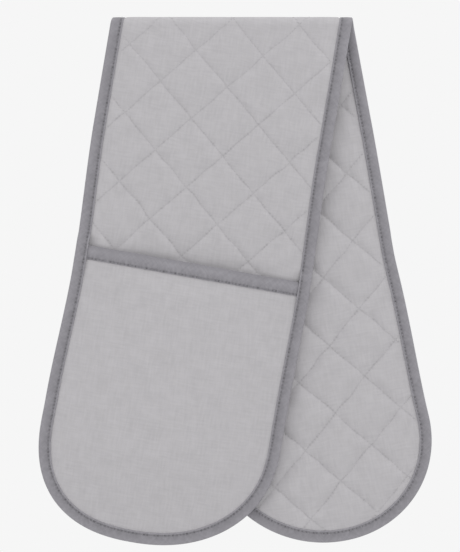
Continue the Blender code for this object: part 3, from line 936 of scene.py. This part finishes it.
def make_pocket(half):
    points, shared = rounded(flat_object("pocket panel", *pocket_sheet(half)))
    flat = points[:, :2]
    edge = DISTANCE[half.name](flat)
    free = ramp(edge, RAMP_START, FREE_RUN)
    free = free * ramp(flat[:, 1], MOUTH_LEVEL_END, FREE_MOUTH_RUN)
    drift = rumple(flat, PANEL_WAVES)
    base = pocket_base(edge, flat[:, 1]) + LINING_SHARE * drift * free
    top = pocket_top(edge, flat[:, 1]) + drift * free
    return padded_body(half, f"{half.name}_pocket", flat, top, flat, base, shared, PLAIN)


pockets = {half.name: make_pocket(half) for half in HALVES}

# %% [markdown]
# The binding is a bias tape folded in half over the raw edge, with its own edges turned in, and
# sewn through close to them. Its section is drawn once, as distance in from the edge and height
# above or below it, and swept along the outline. The seam pulls a groove into it, and the
# turned-in lip beyond the groove stands up a little.

# %% Tape section
ROLL, ROLL_RISE = 0.0015, 0.00086
OVERLAP = 0.0001
BIAS = 0.7


def tape_side(width, lip):
    """One leg of the tape from its inner edge to its fold: distance in, height over its base."""
    seam = width - lip
    return [
        (width, 0.00018),
        (width - 0.00004, 0.00060),
        (width - 0.00025, 0.00088),
        (width - 0.45 * lip, 0.00096),
        (width - 0.70 * lip, 0.00080),
        (seam + 0.00022, 0.00050),
        (seam - 0.00022, 0.00048),
        (seam - 0.00060, 0.00078),
        (seam - 0.00130, 0.00098),
        (width * 0.50, 0.00106),
        (0.00330, 0.00098),
        (0.00210, 0.00088),
    ]


def tape_section(width, lip, top, bottom):
    """The closed section of a tape between the heights of what it lies on, above and below."""
    side = tape_side(width, lip)
    outside = [(e, top + h) for e, h in side]
    middle, reach = (top + bottom) / 2, (top - bottom) / 2
    for turn in (0.82, 0.66, 0.5, 0.33, 0.17, 0, -0.17, -0.33, -0.5, -0.66, -0.82):
        angle = turn * QUARTER_TURN
        rise = (reach + ROLL_RISE) * math.sin(angle)
        outside.append((ROLL * (1 - math.cos(angle)), middle + rise))
    outside += [(e, bottom - h) for e, h in reversed(side)]
    under, over = bottom - OVERLAP, top + OVERLAP
    return outside + [(width, under), (CLOTH, under), (CLOTH, over), (width, over)]


def seam_places(inset, outer, count):
    """A section's places for the weave, whose threads run at 45 degrees, and for the seam marks."""
    around, along = np.where(outer > 0, -inset, inset), count * STITCH_PITCH
    weave = np.stack([around * BIAS + along * BIAS, along * BIAS - around * BIAS], axis=-1)
    return weave, np.stack([inset, np.full(len(inset), count)], axis=-1)


def sweep(name, sections, material):
    """A closed body through sections, capped at both ends: each has its points and seam places."""
    rings, flats, seams = zip(*sections)
    maps = {"flat": np.concatenate(flats), "seam": np.concatenate(seams)}
    count = len(rings[0])
    faces = []
    for k in range(len(rings) - 1):
        for i in range(count):
            j = (i + 1) % count
            a, b = k * count, (k + 1) * count
            faces.append((a + i, a + j, b + j, b + i))
    faces.append(tuple(range(count)))
    faces.append(tuple(range((len(rings) - 1) * count, len(rings) * count)))
    return build_mesh(name, np.concatenate(rings), faces, maps, material)


# %% [markdown]
# The tape is swept round each half at steps shorter than a stitch. It creeps up over the mouth's
# tape and down on to the pocket. Each stitch pulls the tape's inner edge in a little, most of all
# round the end, where bias tape puckers. The stitch holes lie where a stitch count is whole.

# %% Edge tapes
TAPE_STEP = 0.00075
TAPE_END_STEPS = 340
TAPE_ROWS = np.linspace(0, FOLD_ROWS[-1], 15)
GATHERS, GATHER_START, GATHER_RUN = (0.00007, 0.00015), 0.05, 0.06
PLEAT, PLEAT_START, PLEAT_RUN = 0.00022, 0.02, 0.04
HOLD_START, HOLD_RUN = 0.0045, 0.004
SAGS, SAG_RUN = ((0.00014, 2.3, 0.3), (0.00012, 6.1, 4.3)), 0.003
FOLD_PRESS, PRESS_START, PRESS_RUN = 0.62, 0.003, 0.012


def tape_line(half, inset):
    """The outline moved in by inset, with points close enough for stitches."""
    return ring_line(half, inset, TAPE_STEP, TAPE_END_STEPS, TAPE_ROWS)


def stitch_run(line):
    """How many stitches of a seam lie before each point of its flat line, a little uneven."""
    run = line_lengths(line)
    drift = np.array([line_noise(x, 0.0085, 0.4, 2.2) for x in run])
    return run / run[-1] * round(run[-1] / STITCH_PITCH) + 0.30 * (drift - drift[0])


def make_edge_tape(half):
    bottom = -QUILT_EDGE / 2
    seam = tape_line(half, EDGE_SEAM)
    insets = sorted({e for e, _ in tape_section(BINDING_WIDTH, EDGE_LIP, 0, 0)})
    lines = {e: tape_line(half, e) for e in insets}
    sections = []
    for k, ((_, s), count) in enumerate(zip(seam, stitch_run(seam))):
        top = float(stack_top(s))
        e, h = np.array(tape_section(BINDING_WIDTH, EDGE_LIP, top, bottom)).T
        a, t = np.array([lines[x][k] for x in e]).T
        outer = np.sign(h)
        gather = mix(*GATHERS, smooth((s - half.end_start + GATHER_START) / GATHER_RUN))
        hold = ramp(e, HOLD_START, HOLD_RUN)
        pull = gather * math.cos(2 * math.pi * count) * hold
        pleats = smooth((s - half.end_start + PLEAT_START) / PLEAT_RUN) * hold
        pull = pull + PLEAT * pleats * line_noise(count, 1.25, half.sign, 9.1)
        sag = sum(depth * line_noise(count, wave, half.sign, seed) for depth, wave, seed in SAGS)
        h = h - outer * (pull + sag * smooth(e / SAG_RUN))
        pressed = mix(FOLD_PRESS, 1, ramp(depth_of(*seam[k]), PRESS_START, PRESS_RUN))
        level = np.where(outer > 0, top, -bottom)
        h = outer * (np.abs(h) - (1 - pressed) * np.maximum(np.abs(h) - level, 0))
        sections.append((hang(half.sign, a, t, h), *seam_places(e, outer, count)))
    return sweep(f"{half.name}_edge_tape", sections, TAPE)


edge_tapes = {half.name: make_edge_tape(half) for half in HALVES}


# %% [markdown]
# The same tape binds each pocket's mouth, sewn close to its lower edge. Its ends are pressed flat
# under the edge tape.


# %% Mouth tapes
MOUTH_PRESS, ENDS_PRESS, ENDS_RUN, RIM_RISE = 0.75, 0.8, 0.004, 0.0005
MOUTH_SAG, MOUTH_PULL, MOUTH_RISE = 0.00012, 0.00007, 0.00035
PULL_START, PULL_RUN = 0.006, 0.004


def mouth_line(half, s):
    """A flat line across the mouth at s, between the edges of the quilt."""
    shift = float(centre_at(half, MOUTH_DISTANCE + MOUTH_BINDING_WIDTH / 2))
    reach = HALF_WIDTH - RIM
    a = np.linspace(-reach, reach, round(2 * reach / TAPE_STEP) + 1)
    return np.stack([shift + a, np.full(len(a), s)], axis=-1), HALF_WIDTH - np.abs(a)


def make_mouth_tape(half):
    inset, height = np.array(tape_section(MOUTH_BINDING_WIDTH, MOUTH_LIP, 1.0, -1.0)).T
    line, edges = mouth_line(half, MOUTH_DISTANCE)
    s = MOUTH_DISTANCE + inset
    outer = np.sign(height)
    on_rim = np.abs(height) < 1.0
    sections = []
    for (a, _), edge, count in zip(line, edges, stitch_run(line)):
        base = pocket_base(edge, np.maximum(s, MOUTH_DISTANCE + RIM))
        pressed = MOUTH_PRESS * mix(ENDS_PRESS, 1.0, ramp(edge, BINDING_WIDTH, ENDS_RUN))
        part = base + POCKET_EDGE / 2 + height * (POCKET_EDGE / 2 + RIM_RISE * pressed)
        leg = base + np.where(outer > 0, POCKET_EDGE, 0) + (height - outer) * pressed
        sag = MOUTH_SAG * line_noise(count, 3.1, half.sign, 7.3)
        pull = MOUTH_PULL * math.cos(2 * math.pi * count) * ramp(inset, PULL_START, PULL_RUN)
        h = np.where(on_rim, part, leg) - np.where(outer > 0, sag + pull, 0)
        wave = MOUTH_RISE * line_noise(a, 0.014, half.sign, 1.3)
        rise = wave * (1 - inset / MOUTH_BINDING_WIDTH)
        ring = hang(half.sign, np.full(len(s), a), s + rise, h)
        sections.append((ring, *seam_places(inset, outer, count)))
    return sweep(f"{half.name}_mouth_tape", sections, MOUTH_TAPE)


mouth_tapes = {half.name: make_mouth_tape(half) for half in HALVES}

# %% [markdown]
# Every seam is a row of short stitches. One stitch is a small sphere drawn out to its length, and
# it is copied along each seam, half sunk in the cloth.


# %% One stitch
FLATTENED, END_SAG = 0.8, 0.35


def model_stitch(length, radius):
    """The points and faces of one stitch that lies along X, its faces in one order each run."""
    bpy.ops.object.select_all(action="DESELECT")
    bpy.ops.mesh.primitive_uv_sphere_add(
        segments=6, ring_count=4, radius=radius, rotation=(0, QUARTER_TURN, 0)
    )
    bpy.ops.object.transform_apply(location=False, rotation=True, scale=False)
    bpy.ops.object.mode_set(mode="EDIT")
    bpy.ops.mesh.select_all(action="SELECT")
    bpy.ops.transform.resize(value=(length / 2 / radius, 1, FLATTENED))
    bpy.ops.object.mode_set(mode="OBJECT")
    made = bpy.context.object
    points = vertex_places(made).copy()
    points[:, 2] -= END_SAG * radius * (2 * points[:, 0] / length) ** 2
    faces = sorted(tuple(p.vertices) for p in made.data.polygons)
    bpy.data.objects.remove(made)
    return points, faces


STITCH_ENDS = (0, -0.4, 0.4)
ABOVE = 0.001


def stitches_between(name, half, rows, stitch, material):
    """Copies of a stitch as one object. The rows hold a, s and h of middles, starts and ends."""
    middle, before, after = (hang(half.sign, *row) for row in rows)
    a, s, h = rows[0]
    ways = unit(after - before)
    side = unit(np.cross(unit(hang(half.sign, a, s, h + np.sign(h) * ABOVE) - middle), ways))
    points, faces = stitch
    placed = middle[:, None, :]
    for k, way in enumerate((ways, side, np.cross(ways, side))):
        placed = placed + points[None, :, k, None] * way[:, None, :]
    all_faces = [tuple(k * len(points) + i for i in f) for k in range(len(middle)) for f in faces]
    print(name, "has", len(middle), "stitches")
    return build_mesh(name, placed.reshape(-1, 3), all_faces, {}, material)


# %% [markdown]
# The edge tape's seam shows on both faces, a needle thread outside and a bobbin thread inside,
# which lock together in the same holes.

# %% Tape stitches
TAPE_STITCH = model_stitch(0.0022, 0.00028)
STITCH_LEVEL, SINK, SINK_WAVE = 0.00058, 0.00022, 0.0041


def uneven_sink(line, seed):
    """How far the thread sinks at each point of a seam, which changes from stitch to stitch."""
    return SINK * np.array([line_noise(x, SINK_WAVE, seed, 0.7) for x in line_lengths(line)])


def seam_stitches(half, seam, line, heights, material, reach=1.0):
    """Stitches along a flat line that lies at heights, one between each two holes, within reach."""
    count = stitch_run(line)
    middles = np.arange(round(count[-1])) + 0.5
    courses = (*line.T, heights)
    rows = [np.array([np.interp(middles + d, count, x) for x in courses]) for d in STITCH_ENDS]
    keep = np.abs(rows[0][0] - line[:, 0].mean()) < reach
    rows = [row[:, keep] for row in rows]
    return stitches_between(f"{half.name}_{seam}_stitches", half, rows, TAPE_STITCH, material)


def make_tape_stitches(half):
    line = tape_line(half, EDGE_SEAM)
    top = stack_top(line[:, 1]) + STITCH_LEVEL - uneven_sink(line, 0.3)
    low = uneven_sink(line, 6.3) - QUILT_EDGE / 2 - STITCH_LEVEL
    row, edges = mouth_line(half, MOUTH_DISTANCE + MOUTH_BINDING_WIDTH - MOUTH_LIP)
    on_mouth = pocket_base(edges, row[:, 1]) + POCKET_EDGE + MOUTH_PRESS * STITCH_LEVEL
    on_mouth = on_mouth - uneven_sink(row, 3.3)
    return (
        seam_stitches(half, "edge_needle", line, top, NEEDLE_THREAD),
        seam_stitches(half, "edge_bobbin", line, low, BOBBIN_THREAD),
        seam_stitches(half, "mouth", row, on_mouth, NEEDLE_THREAD, HALF_WIDTH - BINDING_WIDTH),
    )


tape_stitches = {half.name: make_tape_stitches(half) for half in HALVES}

# %% [markdown]
# The quilting itself is sewn with thread of the cloth's own colour, so only its small dimples
# show. Its stitches lie on both faces, and a pocket hides those under it.

# %% Quilting stitches
QUILT_STITCH = model_stitch(0.0020, 0.00024)
SEAM_REACH, FIRST_DEPTH, EDGE_CLEAR = 14, 0.0015, RAMP_START + 0.0008
HIDDEN_START, PROUD = MOUTH_DISTANCE - 0.002, 0.00006


def quilting_places(half):
    """Flat middles, starts and ends of every quilting stitch on a half."""
    run = np.arange(-SEAM_REACH * QUILT_STITCHES, SEAM_REACH * QUILT_STITCHES) + 0.5
    lines = np.arange(-SEAM_REACH, SEAM_REACH + 1)
    along, line = (x.ravel() for x in np.meshgrid(run / QUILT_STITCHES, lines))
    out = []
    for end in STITCH_ENDS:
        place = along + end / QUILT_STITCHES
        pairs = ((place, line), (line, place))
        out.append(np.concatenate([lattice_point(half.sign, m, n) for m, n in pairs]))
    a, s = out[0].T
    near = (np.abs(a) < HALF_WIDTH + OUTER_MARGIN) & (s < half.length)
    near &= depth_of(a, s) > FIRST_DEPTH
    out = [p[near] for p in out]
    inside = DISTANCE[half.name](out[0]) > EDGE_CLEAR
    return [p[inside] for p in out]


def make_quilting_stitches(half, side):
    at = quilting_places(half)
    if side > 0:
        shown = at[0][:, 1] < HIDDEN_START
        at = [p[shown] for p in at]
    rows = []
    for p in at:
        level = side * (quilt_relief(half, side, p, np.zeros(len(p))) + PROUD)
        rows.append(np.array([*wandered(half, p).T, level]))
    face = "outer" if side > 0 else "inner"
    name = f"{half.name}_{face}_quilting_stitches"
    return stitches_between(name, half, rows, QUILT_STITCH, QUILT_THREAD)


quilting_stitches = {
    half.name: [make_quilting_stitches(half, side) for side in (1, -1)] for half in HALVES
}

# %% [markdown]
# The world lights the glove evenly, and two soft lamps, one high on the right and a weaker one
# low on the left, give it shape. A third lights its back. The plain backdrop is the world's own
# colour as the camera sees it.


# %% Light and background
BACKDROP, WORLD_LIGHT = (0.922, 0.922, 0.922, 1), 0.895
FLOOR_GREY, FLOOR_LEVEL = (0.85, 0.85, 0.85, 1), -0.9


def area_lamp(name, place, aim, size, power):
    bpy.ops.object.light_add(type="AREA", location=place)
    lamp = bpy.context.object
    lamp.name = name
    lamp.data.shape = "SQUARE"
    lamp.data.size = size
    lamp.data.energy = power
    way = Vector(aim) - Vector(place)
    lamp.rotation_euler = way.to_track_quat("-Z", "Y").to_euler()
    return lamp


area_lamp("key lamp", (0.8, -0.9, 1.7), (0, 0, -0.2), 1.0, 13.5)
area_lamp("fill lamp", (-1.6, -1.3, -0.9), (0, 0, -0.3), 1.2, 7.5)
area_lamp("back lamp", (0.6, 1.6, 0.4), (0, 0, -0.2), 1.2, 7.5)

world = bpy.data.worlds.new("studio")
world.use_nodes = True
bpy.context.scene.world = world
sky = Wiring(world.node_tree)
path = sky.node("LightPath")
seen = sky.math("MAXIMUM", path.outputs["Is Camera Ray"], path.outputs["Is Glossy Ray"])
seen = sky.math("MAXIMUM", seen, path.outputs["Is Transmission Ray"])
strength = sky.span(seen, 0.0, 1.0, WORLD_LIGHT, 1.0)
sky.fill(world.node_tree.nodes["Background"], {"Color": BACKDROP, "Strength": strength})

bpy.ops.mesh.primitive_plane_add(size=3.0, location=(0, 0, FLOOR_LEVEL))
floor = bpy.context.object
floor.name = "floor"
floor_paint, wiring, floor_shader = new_material("pale floor")
wiring.fill(floor_shader, {"Base Color": FLOOR_GREY, "Roughness": 0.9})
floor.data.materials.append(floor_paint)
bpy.context.scene.view_settings.view_transform = "Standard"

# %% [markdown]
# Last, the pockets, their mouth tapes and the mouth stitches are tied to their half's CAD body,
# the other pieces are baked in place, and the CAD parts that the pieces stand for, the saddle's
# among them, are hidden.

# %% Bodies, hidden CAD parts and measures
LAYERS = ("outer_cloth", "wadding", "inner_cloth")

for half in HALVES:
    quilt, pocket = quilts[half.name], pockets[half.name]
    tape, mouth_tape = edge_tapes[half.name], mouth_tapes[half.name]
    needle, bobbin, mouth = tape_stitches[half.name]
    for piece in (quilt, tape, needle, bobbin, *quilting_stitches[half.name]):
        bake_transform(piece)
    for piece in (pocket, mouth_tape, mouth):
        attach(piece, half.name)
    for piece, slot, parts, saddle_parts in (
        (quilt, "cloth", LAYERS, LAYERS),
        (tape, "binding", ("edge_binding",), ("binding_left", "binding_right")),
        (needle, "thread", ("edge_needle_thread",), ("needle_thread_left", "needle_thread_right")),
        (bobbin, "thread", ("edge_bobbin_thread",), ("bobbin_thread_left", "bobbin_thread_right")),
        (mouth, "thread", ("mouth_thread",), ()),
        (mouth_tape, "binding", ("mouth_binding",), ()),
        (pocket, "cloth", ("pocket_cloth", "pocket_wadding", "pocket_lining"), ()),
    ):
        nodes = [f"{half.name}_{part}" for part in parts]
        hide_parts(*nodes, *[f"saddle_{part}" for part in saddle_parts])
    edge_run = line_lengths(ring_line(half, BINDING_WIDTH / 2))[-1]
    print(half.name, "tapes in mm:", round(edge_run * 1000), round(2 * HALF_WIDTH * 1000))
